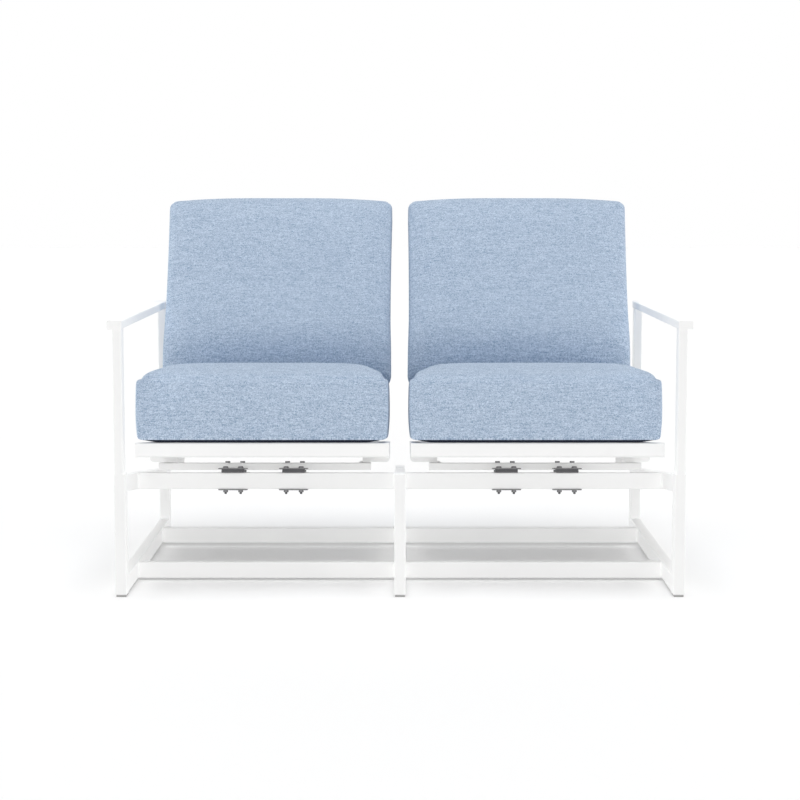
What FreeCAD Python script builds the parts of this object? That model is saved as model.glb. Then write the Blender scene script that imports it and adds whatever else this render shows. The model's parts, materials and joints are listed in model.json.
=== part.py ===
import FreeCAD, Part
import math
import operator
import os
from types import SimpleNamespace

import Sketcher

Vector = FreeCAD.Vector

# Driving dimensions, in millimetres and degrees
SIZES = {
    # Welded base: three upright rings of rectangular tube joined by cross rails
    "frame_width": 1269.2,
    "frame_depth": 827.1,
    "tube_wide": 25.4,
    "tube_tall": 38.1,
    "tube_wall": 3.0,
    "tube_round": 2.5,
    "top_rail_height": 275.5,
    "slope_angle": 7.0,
    "low_front_setback": 187.0,
    "low_rear_setback": 643.0,
    "spring_rail_setback": 206.5,
    "glide_tall": 5.0,
    "glide_inset": 2.0,
    # Arms on slimmer posts
    "arm_height": 617.0,
    "arm_tall": 19.0,
    "arm_wide": 32.0,
    "arm_round": 3.0,
    "arm_over_front": 5.0,
    "arm_over_rear": 5.0,
    "arm_over_side": 9.0,
    "post_wide": 20.0,
    "post_inset": 1.6,
    # Two rocking seats, measured along and square to the sloping rails
    "seat_side_gap": 6.2,
    "seat_centre_gap": 12.3,
    "seat_front": 114.4,
    "seat_depth": 572.0,
    "seat_rail_tall": 33.3,
    "seat_rail_round": 5.0,
    "seat_lift": 36.7,
    "slat_wide": 45.0,
    "slat_thick": 6.0,
    "slat_drop": 4.0,
    "back_angle": 15.0,
    "back_length": 575.0,
    "back_post_inset": 30.0,
    "back_slat_start": 70.0,
    # Carrier under each seat
    "carrier_inset": 39.0,
    "carrier_wide": 25.4,
    "carrier_tall": 16.9,
    "carrier_lift": 4.9,
    "carrier_setback": 262.0,
    "carrier_shift": 4.3,
    "carrier_arm_length": 252.0,
    "carrier_arm_inset": 4.0,
    "pad_tall": 8.0,
    "saddle_wide": 65.0,
    "saddle_long": 160.0,
    "saddle_setback": 372.0,
    "saddle_round": 9.0,
    # Leaf springs and their clamps
    "spring_spacing": 141.0,
    "leaf_wide": 52.0,
    "leaf_thick": 4.5,
    "leaf_drop": 34.0,
    "leaf_reach": 400.0,
    "leaf_bend": 18.0,
    "clamp_wide": 67.0,
    "clamp_long": 32.0,
    "clamp_top_thick": 4.0,
    "clamp_low_thick": 3.0,
    "bolt_spacing": 35.0,
    "bolt_radius": 3.0,
    "bolt_clearance": 0.5,
    "bolt_head_radius": 5.7,
    "bolt_head_tall": 4.0,
    "nut_tall": 5.0,
    # Cushions
    "fit_gap": 0.3,
    "seat_cushion_inset": 2.0,
    "seat_cushion_tall": 150.0,
    "seat_cushion_over": 8.0,
    "back_cushion_inset": 3.0,
    "back_cushion_top": 622.0,
    "back_cushion_thick": 130.0,
    "back_crown": 20.0,
    "seat_crown": 42.0,
    "cushion_round": 22.0,
    "cushion_swell": 10.0,
}

SEAT_SLATS = 7
BACK_SLATS = 6
# Share of the seat's crown that is left under the foot of the back cushion
REAR_CROWN = 0.34
SIDES = (("left", -1), ("right", 1))

doc = FreeCAD.newDocument("rocker_bench")
sheet = doc.addObject("Spreadsheet::Sheet", "Sizes")
for row, (name, value) in enumerate(SIZES.items(), start=1):
    sheet.set(f"A{row}", name)
    sheet.set(f"B{row}", str(value))
    sheet.setAlias(f"B{row}", name)
doc.recompute()

OPERATIONS = {"+": operator.add, "-": operator.sub, "*": operator.mul, "/": operator.truediv}


class Size:
    """A value with the sheet expression that it comes from."""

    def __init__(self, value, text):
        self.value = value
        self.text = text

    def __float__(self):
        return self.value

    def __add__(self, other):
        return joined(self, "+", other)

    def __radd__(self, other):
        return joined(other, "+", self)

    def __sub__(self, other):
        return joined(self, "-", other)

    def __rsub__(self, other):
        return joined(other, "-", self)

    def __mul__(self, other):
        return joined(self, "*", other)

    def __rmul__(self, other):
        return joined(other, "*", self)

    def __truediv__(self, other):
        return joined(self, "/", other)


def sized(item):
    if isinstance(item, Size):
        return item
    return Size(float(item), str(float(item)))


def joined(left, sign, right):
    left, right = sized(left), sized(right)
    return Size(OPERATIONS[sign](left.value, right.value), f"({left.text} {sign} {right.text})")


def sine(angle):
    return Size(math.sin(math.radians(angle.value)), f"sin({angle.text})")


def cosine(angle):
    return Size(math.cos(math.radians(angle.value)), f"cos({angle.text})")


def tangent(angle):
    return sine(angle) / cosine(angle)


d = SimpleNamespace(**{name: Size(float(sheet.get(name)), f"Sizes.{name}") for name in SIZES})
nodes = []


# Placing

def at(x, y, z):
    return FreeCAD.Placement(Vector(float(x), float(y), float(z)), FreeCAD.Rotation())


def tilted(angle, origin):
    return FreeCAD.Placement(origin.Base, FreeCAD.Rotation(Vector(1, 0, 0), -float(angle)))


def mirrored_start(sign, near, width):
    """Lowest X of a piece whose near face is that far from the middle, on the left or the right."""
    if sign > 0:
        return float(near)
    return -float(near) - float(width)


# Building blocks

def node(item, label):
    item.Label = label
    nodes.append(item)
    return item


def new_body(label):
    return node(doc.addObject("PartDesign::Body", label), label)


def sketch_on(body, role):
    sketch = body.newObject("Sketcher::SketchObject", f"{body.Name}_sketch")
    plane = next(item for item in body.Origin.OriginFeatures if item.Role == role)
    sketch.AttachmentSupport = [(plane, "")]
    sketch.MapMode = "FlatFace"
    return sketch


def fix_coordinate(sketch, kind, axis, geometry, place, value):
    """Hold one coordinate of a point: on the axis, or at a distance taken from the sheet."""
    if float(value) == 0.0:
        sketch.addConstraint(Sketcher.Constraint("PointOnObject", geometry, place, axis))
        return
    index = sketch.addConstraint(Sketcher.Constraint(kind, -1, 1, geometry, place, float(value)))
    sketch.setExpression(f"Constraints[{index}]", sized(value).text)


def add_outline(sketch, corners):
    """A closed outline of straight lines through the corners."""
    first = sketch.GeometryCount
    count = len(corners)
    points = [Vector(float(x), float(y), 0) for x, y in corners]
    for index in range(count):
        sketch.addGeometry(Part.LineSegment(points[index], points[(index + 1) % count]), False)
    for index in range(count):
        following = first + (index + 1) % count
        sketch.addConstraint(Sketcher.Constraint("Coincident", first + index, 2, following, 1))
    for index, (x, y) in enumerate(corners):
        fix_coordinate(sketch, "DistanceX", -2, first + index, 1, x)
        fix_coordinate(sketch, "DistanceY", -1, first + index, 1, y)


def add_holes(sketch, centres, radius):
    for x, y in centres:
        circle = Part.Circle(Vector(float(x), float(y), 0), Vector(0, 0, 1), float(radius))
        geometry = sketch.addGeometry(circle, False)
        fix_coordinate(sketch, "DistanceX", -2, geometry, 3, x)
        fix_coordinate(sketch, "DistanceY", -1, geometry, 3, y)
        index = sketch.addConstraint(Sketcher.Constraint("Radius", geometry, float(radius)))
        sketch.setExpression(f"Constraints[{index}]", radius.text)


def rectangle(wide, tall, inset=0):
    return [(inset, inset), (wide - inset, inset), (wide - inset, tall - inset), (inset, tall - inset)]


def long_outer_edges(shape, across):
    """Names of the long edges that lie on the outer corners, seen along the piece."""
    box = shape.BoundBox
    longest = max(edge.Length for edge in shape.Edges)
    names = []
    for index, edge in enumerate(shape.Edges, start=1):
        middle = edge.valueAt((edge.FirstParameter + edge.LastParameter) / 2)
        outer = all(
            min(
                abs(getattr(middle, axis.lower()) - getattr(box, f"{axis}Min")),
                abs(getattr(middle, axis.lower()) - getattr(box, f"{axis}Max")),
            ) < 1e-6
            for axis in across
        )
        if outer and edge.Length > 0.9 * longest:
            names.append(f"Edge{index}")
    return names


def round_long_edges(body, feature, across, radius):
    doc.recompute()
    fillet = body.newObject("PartDesign::Fillet", f"{body.Name}_round")
    fillet.Base = (feature, long_outer_edges(feature.Shape, across))
    fillet.setExpression("Radius", radius.text)


def padded(body, sketch, length, backward=False):
    pad = body.newObject("PartDesign::Pad", f"{body.Name}_pad")
    pad.Profile = sketch
    pad.Reversed = backward
    pad.setExpression("Length", length.text)
    return pad


RUNS = {
    "X": ("YZ_Plane", "YZ", False),
    "Y": ("XZ_Plane", "XZ", True),
    "Z": ("XY_Plane", "XY", False),
}


def bar(label, run, wide, tall, length, place, wall=None, radius=None, holes=()):
    """A straight bar or tube along one axis, from its lowest corner, with holes across it."""
    role, across, backward = RUNS[run]
    body = new_body(label)
    sketch = sketch_on(body, role)
    add_outline(sketch, rectangle(wide, tall))
    if wall is not None:
        add_outline(sketch, rectangle(wide, tall, wall))
    feature = padded(body, sketch, length, backward)
    round_long_edges(body, feature, across, radius or d.tube_round)
    if holes:
        drill(body, holes)
    body.Placement = place
    return body


def drill(body, centres):
    """Bolt holes right through the piece, square to its XY plane."""
    hole_sketch = sketch_on(body, "XY_Plane")
    add_holes(hole_sketch, centres, d.bolt_radius + d.bolt_clearance)
    cut = body.newObject("PartDesign::Pocket", f"{body.Name}_holes")
    cut.Profile = hole_sketch
    cut.Type = "ThroughAll"
    cut.Reversed = True


def sloped_tube(label, corners, inner, wide, place):
    """A tube whose side view is the given outline, hollow along the inner outline."""
    body = new_body(label)
    sketch = sketch_on(body, "YZ_Plane")
    add_outline(sketch, corners)
    pad = padded(body, sketch, wide)
    pad.SideType = "Symmetric"
    round_long_edges(body, pad, "X", d.tube_round)
    hollow_sketch = sketch_on(body, "YZ_Plane")
    add_outline(hollow_sketch, inner)
    hollow = body.newObject("PartDesign::Pocket", f"{body.Name}_hollow")
    hollow.Profile = hollow_sketch
    hollow.SideType = "Symmetric"
    hollow.setExpression("Length", (wide - 2 * d.tube_wall).text)
    body.Placement = place
    return body


def block(name, length, width, height, place):
    item = doc.addObject("Part::Box", name)
    for key, value in (("Length", length), ("Width", width), ("Height", height)):
        item.setExpression(key, sized(value).text)
    item.Placement = place
    return item


def group(label, members):
    item = doc.addObject("Part::Compound", label)
    item.Links = members
    return node(item, label)


def hexagon(name, tall, place):
    item = doc.addObject("Part::Prism", name)
    item.Polygon = 6
    item.setExpression("Circumradius", d.bolt_head_radius.text)
    item.setExpression("Height", tall.text)
    item.Placement = place
    return item


def rod(name, radius, tall, place):
    item = doc.addObject("Part::Cylinder", name)
    item.setExpression("Radius", radius.text)
    item.setExpression("Height", tall.text)
    item.Placement = place
    return item


def bolt(name, frame, x, y, top, grip):
    """Head, shank and nut of a bolt, with the nut a grip length below the head."""
    head = hexagon(f"{name}_head", d.bolt_head_tall, frame.multiply(at(x, y, top)))
    foot = frame.multiply(at(x, y, top - grip - d.nut_tall))
    nut = hexagon(f"{name}_nut", d.nut_tall, foot)
    shank = rod(f"{name}_shank", d.bolt_radius, grip + d.nut_tall, foot)
    return [head, shank, nut]


def fused(name, members):
    whole = doc.addObject("Part::MultiFuse", name)
    whole.Shapes = members
    return whole


# Places that several pieces share

half_width = d.frame_width / 2
rear_leg_front = d.frame_depth - d.tube_tall
top_rail_run = rear_leg_front - d.tube_tall
rear_leg_top = d.top_rail_height - rear_leg_front * tangent(d.slope_angle)
span_length = half_width - d.tube_wide * 1.5
seat_width = span_length - d.seat_side_gap - d.seat_centre_gap
seat_offset = (d.tube_wide + seat_width) / 2 + d.seat_centre_gap
carrier_length = seat_width - 2 * d.carrier_inset
spring_offset = seat_offset + d.carrier_shift
post_top = d.arm_height - d.arm_tall
seat_top = d.seat_lift + d.seat_rail_tall
seat_rear_rail = d.seat_front + d.seat_depth - d.tube_wide
carrier_top = d.carrier_lift + d.carrier_tall
clamp_middle = d.spring_rail_setback + d.tube_wide / 2
carrier_middle = d.carrier_setback + d.carrier_wide / 2

rails = tilted(d.slope_angle, at(0, 0, d.top_rail_height))
back = rails.multiply(tilted(d.back_angle, at(0, seat_rear_rail, seat_top)))


# Upright rings of the base

def top_rail(label, middle):
    drop = top_rail_run * tangent(d.slope_angle)
    tall = d.tube_tall / cosine(d.slope_angle)
    wall = d.tube_wall / cosine(d.slope_angle)
    outer = [(0, drop), (top_rail_run, 0), (top_rail_run, tall), (0, drop + tall)]
    inner = [
        (0, drop + wall),
        (top_rail_run, wall),
        (top_rail_run, tall - wall),
        (0, drop + tall - wall),
    ]
    base = d.top_rail_height - d.tube_tall * tangent(d.slope_angle) - drop - tall
    sloped_tube(label, outer, inner, d.tube_wide, at(middle, d.tube_tall, base))


def leg(label, x, y, top):
    place = at(x, y, d.glide_tall)
    bar(label, "Z", d.tube_wide, d.tube_tall, top - d.glide_tall, place, d.tube_wall)


def ring(side, x):
    leg(f"{side}_front_leg", x, 0, d.top_rail_height)
    leg(f"{side}_rear_leg", x, rear_leg_front, rear_leg_top)
    place = at(x, d.tube_tall, d.glide_tall)
    bar(f"{side}_runner", "Y", d.tube_wide, d.tube_tall, top_rail_run, place, d.tube_wall)
    top_rail(f"{side}_top_rail", x + d.tube_wide / 2)


RINGS = {
    "left": 0 - half_width,
    "centre": 0 - d.tube_wide / 2,
    "right": half_width - d.tube_wide,
}
for side, start in RINGS.items():
    ring(side, start)


def glides():
    wide = d.tube_wide - 2 * d.glide_inset
    long = d.tube_tall - 2 * d.glide_inset
    pads = []
    for side, start in RINGS.items():
        for end, y in (("front", 0), ("rear", rear_leg_front)):
            place = at(start + d.glide_inset, y + d.glide_inset, 0)
            pads.append(block(f"{side}_{end}_glide", wide, long, d.glide_tall, place))
    group("glides", pads)


glides()


# Cross rails between the rings

def bolt_places(middle):
    """Bolt positions along a rail, for two springs whose middle is given."""
    return [
        middle + spring * d.spring_spacing / 2 + end * d.bolt_spacing / 2
        for spring in (-1, 1)
        for end in (-1, 1)
    ]


def cross_rails(side, sign):
    x = mirrored_start(sign, d.tube_wide / 2, span_length)
    for name, setback in (("low_front_rail", d.low_front_setback), ("low_rear_rail", d.low_rear_setback)):
        place = at(x, setback, d.glide_tall)
        bar(f"{side}_{name}", "X", d.tube_wide, d.tube_tall, span_length, place, d.tube_wall)
    middle = spring_offset - d.tube_wide / 2 if sign > 0 else half_width - d.tube_wide - spring_offset
    holes = [(place, d.tube_wide / 2) for place in bolt_places(middle)]
    place = rails.multiply(at(x, d.spring_rail_setback, 0 - d.tube_tall))
    bar(f"{side}_spring_rail", "X", d.tube_wide, d.tube_tall, span_length, place, d.tube_wall, holes=holes)


for side, sign in SIDES:
    cross_rails(side, sign)


# Arms

def arm(side, sign):
    post_x = mirrored_start(sign, half_width - d.post_inset - d.post_wide, d.post_wide)
    for end, y, foot in (("front", 0, d.top_rail_height), ("rear", rear_leg_front, rear_leg_top)):
        place = at(post_x, y, foot)
        bar(f"{side}_{end}_arm_post", "Z", d.post_wide, d.tube_tall, post_top - foot, place, d.tube_wall)
    arm_x = mirrored_start(sign, half_width + d.arm_over_side - d.arm_wide, d.arm_wide)
    length = d.frame_depth + d.arm_over_front + d.arm_over_rear
    place = at(arm_x, 0 - d.arm_over_front, post_top)
    bar(f"{side}_arm", "Y", d.arm_wide, d.arm_tall, length, place, radius=d.arm_round)


for side, sign in SIDES:
    arm(side, sign)


# Spring clamps on the spring rails

def clamp_plate(name, x, low, thick):
    place = rails.multiply(at(x - d.clamp_wide / 2, clamp_middle - d.clamp_long / 2, low))
    return block(name, d.clamp_wide, d.clamp_long, thick, place)


def spring_middles(sign):
    return [sign * spring_offset + spring * d.spring_spacing / 2 for spring in (-1, 1)]


def clamp(name, x):
    """Plates above the leaf and below the rail, drawn together by two bolts."""
    top = d.leaf_thick + d.clamp_top_thick
    low = 0 - d.tube_tall - d.clamp_low_thick
    members = [
        clamp_plate(f"{name}_top", x, d.leaf_thick, d.clamp_top_thick),
        clamp_plate(f"{name}_low", x, low, d.clamp_low_thick),
    ]
    for end in (-1, 1):
        bolt_x = x + end * d.bolt_spacing / 2
        members += bolt(f"{name}_bolt_{end + 2}", rails, bolt_x, clamp_middle, top, top - low)
    return fused(name, members)


def clamps():
    members = []
    for side, sign in SIDES:
        for number, x in enumerate(spring_middles(sign), start=1):
            members.append(clamp(f"{side}_clamp_{number}", x))
    group("spring_clamps", members)


clamps()


# Seat frames

def seat_frame(side, sign):
    x = sign * seat_offset - seat_width / 2
    wide, tall = d.tube_wide, d.seat_rail_tall
    for name, y in (("front", d.seat_front), ("rear", seat_rear_rail)):
        place = rails.multiply(at(x, y, d.seat_lift))
        bar(f"{side}_seat_{name}_rail", "X", wide, tall, seat_width, place, radius=d.seat_rail_round)
    far = x + seat_width - wide
    outer, inner = (far, x) if sign > 0 else (x, far)
    length = d.seat_depth - 2 * wide
    for name, start in (("outer", outer), ("inner", inner)):
        place = rails.multiply(at(start, d.seat_front + wide, d.seat_lift))
        bar(f"{side}_seat_{name}_rail", "Y", wide, tall, length, place, d.tube_wall)
    step = (length - d.slat_wide) / (SEAT_SLATS - 1)
    slats = []
    for number in range(SEAT_SLATS):
        y = d.seat_front + wide + step * number
        place = rails.multiply(at(x + wide, y, seat_top - d.slat_drop - d.slat_thick))
        name = f"{side}_seat_slat_{number + 1}"
        slats.append(block(name, seat_width - 2 * wide, d.slat_wide, d.slat_thick, place))
    group(f"{side}_seat_slats", slats)


def back_frame(side, sign):
    lean, deep = d.back_angle, d.tube_wide * cosine(d.back_angle)
    rise, reach = d.back_length * cosine(lean), d.back_length * sine(lean)
    wall = d.tube_wall / cosine(lean)
    outer = [
        (0, 0),
        (d.tube_wide, 0),
        (reach + deep * cosine(lean), rise - deep * sine(lean)),
        (reach, rise),
    ]
    near, far = d.tube_wall, deep - d.tube_wall
    inner = [
        (wall, 0),
        (d.tube_wide - wall, 0),
        (reach + far * cosine(lean), rise - far * sine(lean)),
        (reach + near * cosine(lean), rise - near * sine(lean)),
    ]
    between = seat_width - 2 * d.back_post_inset
    low_x = sign * seat_offset - between / 2
    high_x = low_x + between - d.tube_wide
    ends = (high_x, low_x) if sign > 0 else (low_x, high_x)
    for name, start in zip(("outer", "inner"), ends):
        place = rails.multiply(at(start + d.tube_wide / 2, seat_rear_rail, seat_top))
        sloped_tube(f"{side}_back_{name}_post", outer, inner, d.tube_wide, place)
    place = back.multiply(at(low_x, 0, d.back_length))
    bar(f"{side}_back_top_rail", "X", deep, d.tube_wide, between, place)
    step = (d.back_length - d.back_slat_start - d.slat_wide) / BACK_SLATS
    slats = []
    for number in range(BACK_SLATS):
        height = d.back_slat_start + step * number
        place = back.multiply(at(low_x + d.tube_wide, d.slat_drop, height))
        name = f"{side}_back_slat_{number + 1}"
        slats.append(block(name, between - 2 * d.tube_wide, d.slat_thick, d.slat_wide, place))
    group(f"{side}_back_slats", slats)


# Carrier that hangs each seat on its springs

def saddle(name, x, rounded_end):
    """Spacer between a carrier arm and a seat rail, with its outer lower edge rounded."""
    tall = d.seat_lift - carrier_top
    place = rails.multiply(at(x, d.saddle_setback, carrier_top))
    blank = block(f"{name}_blank", d.saddle_wide, d.saddle_long, tall, place)
    doc.recompute()
    inverse = place.inverse()
    edge_x = 0.0 if rounded_end < 0 else float(d.saddle_wide)
    rounded = doc.addObject("Part::Fillet", name)
    rounded.Base = blank
    radius = min(float(d.saddle_round), 0.9 * float(tall))
    for index, edge in enumerate(blank.Shape.Edges, start=1):
        middle = inverse.multVec(edge.CenterOfMass)
        along = abs(edge.Length - float(d.saddle_long)) < 1e-6
        if along and abs(middle.x - edge_x) < 1e-6 and abs(middle.z) < 1e-6:
            rounded.Edges = [(index, radius, radius)]
    return rounded


def pad(name, x):
    """Packer between a carrier rail and a leaf, drilled for the leaf's two bolts."""
    low = d.carrier_lift - d.pad_tall
    place = rails.multiply(at(x - d.leaf_wide / 2, d.carrier_setback, low))
    blank = block(f"{name}_blank", d.leaf_wide, d.carrier_wide, d.pad_tall, place)
    holes = []
    for end in (-1, 1):
        place = rails.multiply(at(x + end * d.bolt_spacing / 2, carrier_middle, low))
        holes.append(rod(f"{name}_hole_{end + 2}", d.bolt_radius + d.bolt_clearance, d.pad_tall, place))
    drilled = doc.addObject("Part::Cut", name)
    drilled.Base = blank
    drilled.Tool = fused(f"{name}_holes", holes)
    return drilled


def carrier(side, sign):
    centre = sign * spring_offset
    x = centre - carrier_length / 2
    holes = [(place, d.carrier_wide / 2) for place in bolt_places(carrier_length / 2)]
    place = rails.multiply(at(x, d.carrier_setback, d.carrier_lift))
    wide, tall = d.carrier_wide, d.carrier_tall
    bar(f"{side}_carrier_rail", "X", wide, tall, carrier_length, place, holes=holes)
    arms = []
    saddles = []
    for end in (-1, 1):
        arm_x = centre + mirrored_start(end, carrier_length / 2 - wide - d.carrier_arm_inset, wide)
        place = rails.multiply(at(arm_x, d.carrier_setback + wide, d.carrier_lift))
        arms.append(block(f"{side}_carrier_arm_{end + 2}", wide, d.carrier_arm_length, tall, place))
        saddle_start = mirrored_start(end, seat_width / 2 - d.saddle_wide, d.saddle_wide)
        saddle_x = sign * seat_offset + saddle_start
        saddles.append(saddle(f"{side}_saddle_{end + 2}", saddle_x, end))
    group(f"{side}_carrier_arms", arms)
    group(f"{side}_saddles", saddles)
    pads = [
        pad(f"{side}_pad_{number}", pad_x) for number, pad_x in enumerate(spring_middles(sign), start=1)
    ]
    group(f"{side}_carrier_pads", pads)
    bolts = []
    grip = d.carrier_tall + d.pad_tall + 2 * d.fit_gap + d.leaf_thick
    for number, bolt_x in enumerate(bolt_places(centre), start=1):
        name = f"{side}_carrier_bolt_{number}"
        bolts.append(fused(name, bolt(name, rails, bolt_x, carrier_middle, carrier_top, grip)))
    group(f"{side}_carrier_bolts", bolts)


# Leaf springs: clamped on the spring rail, looped back and bolted under the carrier's pads

def leaf_path():
    """Middle line of a leaf in its side view, as straight runs and tangent arcs."""
    bend, half = float(d.leaf_bend), float(d.leaf_thick) / 2
    low = half - float(d.leaf_drop)
    high = float(d.carrier_lift - d.pad_tall - d.fit_gap) - half
    turn = math.acos(1 - float(d.leaf_drop) / (2 * bend))
    start = float(clamp_middle - d.clamp_long / 2)
    bend_start = float(clamp_middle + d.clamp_long / 2)
    bend_end = bend_start + 2 * bend * math.sin(turn)
    bend_middle = (bend_start + bend_end) / 2
    loop = (high - low) / 2

    def on_arc(y, z, radius, angle):
        return Vector(0, y + radius * math.sin(angle), z + radius * math.cos(angle))

    def arc(*points):
        return Part.Arc(*points).toShape()

    def line(first, last):
        return Part.LineSegment(first, last).toShape()

    first_end = Vector(0, bend_start, half)
    meeting = Vector(0, bend_middle, half - float(d.leaf_drop) / 2)
    low_start = Vector(0, bend_end, low)
    low_end = Vector(0, float(d.leaf_reach), low)
    high_start = Vector(0, float(d.leaf_reach), high)
    return Part.Wire([
        line(Vector(0, start, half), first_end),
        arc(first_end, on_arc(bend_start, half - bend, bend, turn / 2), meeting),
        arc(meeting, on_arc(bend_end, low + bend, bend, math.pi + turn / 2), low_start),
        line(low_start, low_end),
        arc(low_end, Vector(0, float(d.leaf_reach) + loop, (low + high) / 2), high_start),
        line(high_start, Vector(0, float(d.carrier_setback), high)),
    ])


def leaf(name, x):
    path = leaf_path()
    start = path.Vertexes[0].Point
    wide, thick = float(d.leaf_wide), float(d.leaf_thick)
    corners = [
        start + Vector(sx * wide / 2, 0, sz * thick / 2)
        for sx, sz in ((-1, -1), (1, -1), (1, 1), (-1, 1), (-1, -1))
    ]
    strip = path.makePipeShell([Part.makePolygon(corners)], True, False)
    radius = float(d.bolt_radius + d.bolt_clearance)
    drop = float(d.leaf_drop) / 2
    for end in (-1, 1):
        hole_x = end * float(d.bolt_spacing) / 2
        for y in (float(clamp_middle), float(carrier_middle)):
            foot = Vector(hole_x, y, -drop)
            strip = strip.cut(Part.makeCylinder(radius, 2 * drop, foot))
    item = doc.addObject("Part::Feature", name)
    item.Shape = strip
    item.Placement = rails.multiply(at(x, 0, 0))
    return item


def springs(side, sign):
    leaves = [
        leaf(f"{side}_leaf_{number}", x) for number, x in enumerate(spring_middles(sign), start=1)
    ]
    group(f"{side}_springs", leaves)


# Cushions: crowned side outlines lofted across the seat, rounded in at both ends

def bowed(first, last, bow):
    """A straight side, or a shallow arc that bulges to the right of its run."""
    if bow == 0:
        return Part.LineSegment(first, last).toShape()
    run = last - first
    middle = (first + last) / 2 + Vector(0, run.z, -run.y).normalize() * bow
    return Part.Arc(first, middle, last).toShape()


def cushion_outline(x, corners, bows, radius):
    """Closed outline at one X: bowed sides between rounded corners."""
    count = len(corners)
    starts = []
    ends = []
    for index, corner in enumerate(corners):
        before = (corners[index - 1] - corner).normalize()
        after = (corners[(index + 1) % count] - corner).normalize()
        ends.append(corner + before * radius)
        starts.append(corner + after * radius)
    edges = []
    for index, bow in enumerate(bows):
        following = (index + 1) % count
        edges.append(bowed(starts[index], ends[following], bow))
        inward = (starts[following] + ends[following]) / 2 - corners[following]
        middle = corners[following] + inward * (2 - math.sqrt(2))
        edges.append(Part.Arc(ends[following], middle, starts[following]).toShape())
    wire = Part.Wire(edges)
    wire.translate(Vector(x, 0, 0))
    return wire


def cushion(label, corners, bows, wide, centre, frame):
    """Ruled loft of outlines that shrink towards both ends as a quarter ellipse."""
    radius = float(d.cushion_round)
    half = float(wide) / 2
    points = [Vector(0, float(y), float(z)) for y, z in corners]
    middle = sum(points, Vector()) / len(points)
    right = [0, half * 0.5, half * 0.8, half - radius, half - radius * 0.3, half]
    stations = [-x for x in reversed(right[1:])] + right
    sections = []
    for x in stations:
        turn = max(0, (abs(x) - half + radius) / radius)
        drawn = radius * 0.8 * (1 - math.sqrt(max(0, 1 - turn ** 2)))
        moved = []
        for point in points:
            away = point - middle
            y = math.copysign(abs(away.y) - drawn, away.y)
            z = math.copysign(abs(away.z) - drawn, away.z)
            moved.append(middle + Vector(0, y, z))
        fullness = 1 - 0.9 * (x / half) ** 4
        sections.append(cushion_outline(x, moved, [float(bow) * fullness for bow in bows], radius))
    item = doc.addObject("Part::Feature", label)
    item.Shape = Part.makeLoft(sections, True, True)
    item.Placement = frame.multiply(at(centre, 0, 0))
    node(item, label)


def cushions(side, sign):
    centre = sign * seat_offset
    low = seat_top + 2 * d.fit_gap
    high = low + d.seat_cushion_tall
    front = d.seat_front - d.seat_cushion_over
    rear = seat_rear_rail - d.fit_gap - d.cushion_swell
    corners = [(front, low), (rear, low), (rear, high), (front, high)]
    bows = [0, d.cushion_swell, d.seat_crown, d.cushion_swell]
    cushion(f"{side}_seat_cushion", corners, bows, seat_width - 2 * d.seat_cushion_inset, centre, rails)

    near = 0 - 2 * d.fit_gap
    far = near - d.back_cushion_thick
    clear = high + d.seat_crown * REAR_CROWN + d.fit_gap - seat_top
    foot = (clear + far * sine(d.back_angle)) / cosine(d.back_angle)
    rear_foot = foot + d.back_cushion_thick * tangent(d.back_angle)
    head = d.back_cushion_top
    corners = [(far, foot), (near, rear_foot), (near, head), (far, head)]
    bows = [0, 0, d.cushion_swell, d.back_crown]
    cushion(f"{side}_back_cushion", corners, bows, seat_width - 2 * d.back_cushion_inset, centre, back)


for side, sign in SIDES:
    seat_frame(side, sign)
    back_frame(side, sign)
    carrier(side, sign)
    springs(side, sign)
    cushions(side, sign)


# Stand the bench on the floor with the origin under its middle

doc.recompute()
whole = FreeCAD.BoundBox()
for item in nodes:
    whole.add(item.Shape.optimalBoundingBox(False))
shift = at(-whole.Center.x, -whole.Center.y, -whole.ZMin)
for item in nodes:
    item.Placement = shift.multiply(item.Placement)
doc.recompute()

failed = [item.Name for item in doc.Objects if {"Invalid", "Error"} & set(item.State)]
failed += [item.Label for item in nodes if item.Shape.isNull() or not item.Shape.isValid()]
if failed:
    raise RuntimeError(f"these objects failed: {failed}")

os.makedirs("parts", exist_ok=True)
for item in nodes:
    item.Shape.exportStep(f"parts/{item.Label}.step")
print(f"{len(nodes)} nodes, size {whole.XLength:.1f} x {whole.YLength:.1f} x {whole.ZLength:.1f}")
print(f"front leg face at Y {shift.Base.y:.2f}")
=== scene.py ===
import json
import math

import bpy
import numpy as np
from mathutils import Matrix, Vector


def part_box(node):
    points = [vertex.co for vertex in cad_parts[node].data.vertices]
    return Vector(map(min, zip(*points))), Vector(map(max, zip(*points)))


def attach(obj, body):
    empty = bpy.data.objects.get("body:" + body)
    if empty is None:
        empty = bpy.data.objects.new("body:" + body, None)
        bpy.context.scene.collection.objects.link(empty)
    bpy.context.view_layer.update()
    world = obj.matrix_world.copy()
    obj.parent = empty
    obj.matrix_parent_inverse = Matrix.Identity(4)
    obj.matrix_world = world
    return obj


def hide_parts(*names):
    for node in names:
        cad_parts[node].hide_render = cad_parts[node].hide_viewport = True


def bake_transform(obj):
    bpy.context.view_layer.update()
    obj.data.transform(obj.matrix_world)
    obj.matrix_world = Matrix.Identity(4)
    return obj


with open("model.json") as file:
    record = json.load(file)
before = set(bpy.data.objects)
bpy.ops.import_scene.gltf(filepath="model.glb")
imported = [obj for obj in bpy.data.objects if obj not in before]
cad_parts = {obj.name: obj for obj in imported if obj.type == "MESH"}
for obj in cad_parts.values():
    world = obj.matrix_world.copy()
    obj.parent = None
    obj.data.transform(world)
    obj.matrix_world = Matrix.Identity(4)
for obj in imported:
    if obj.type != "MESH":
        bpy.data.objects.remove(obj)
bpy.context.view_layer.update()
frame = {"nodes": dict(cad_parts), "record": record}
scene = bpy.context.scene
MM = 0.001
# The least length that anything is divided by
TINY = 1e-9

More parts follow.
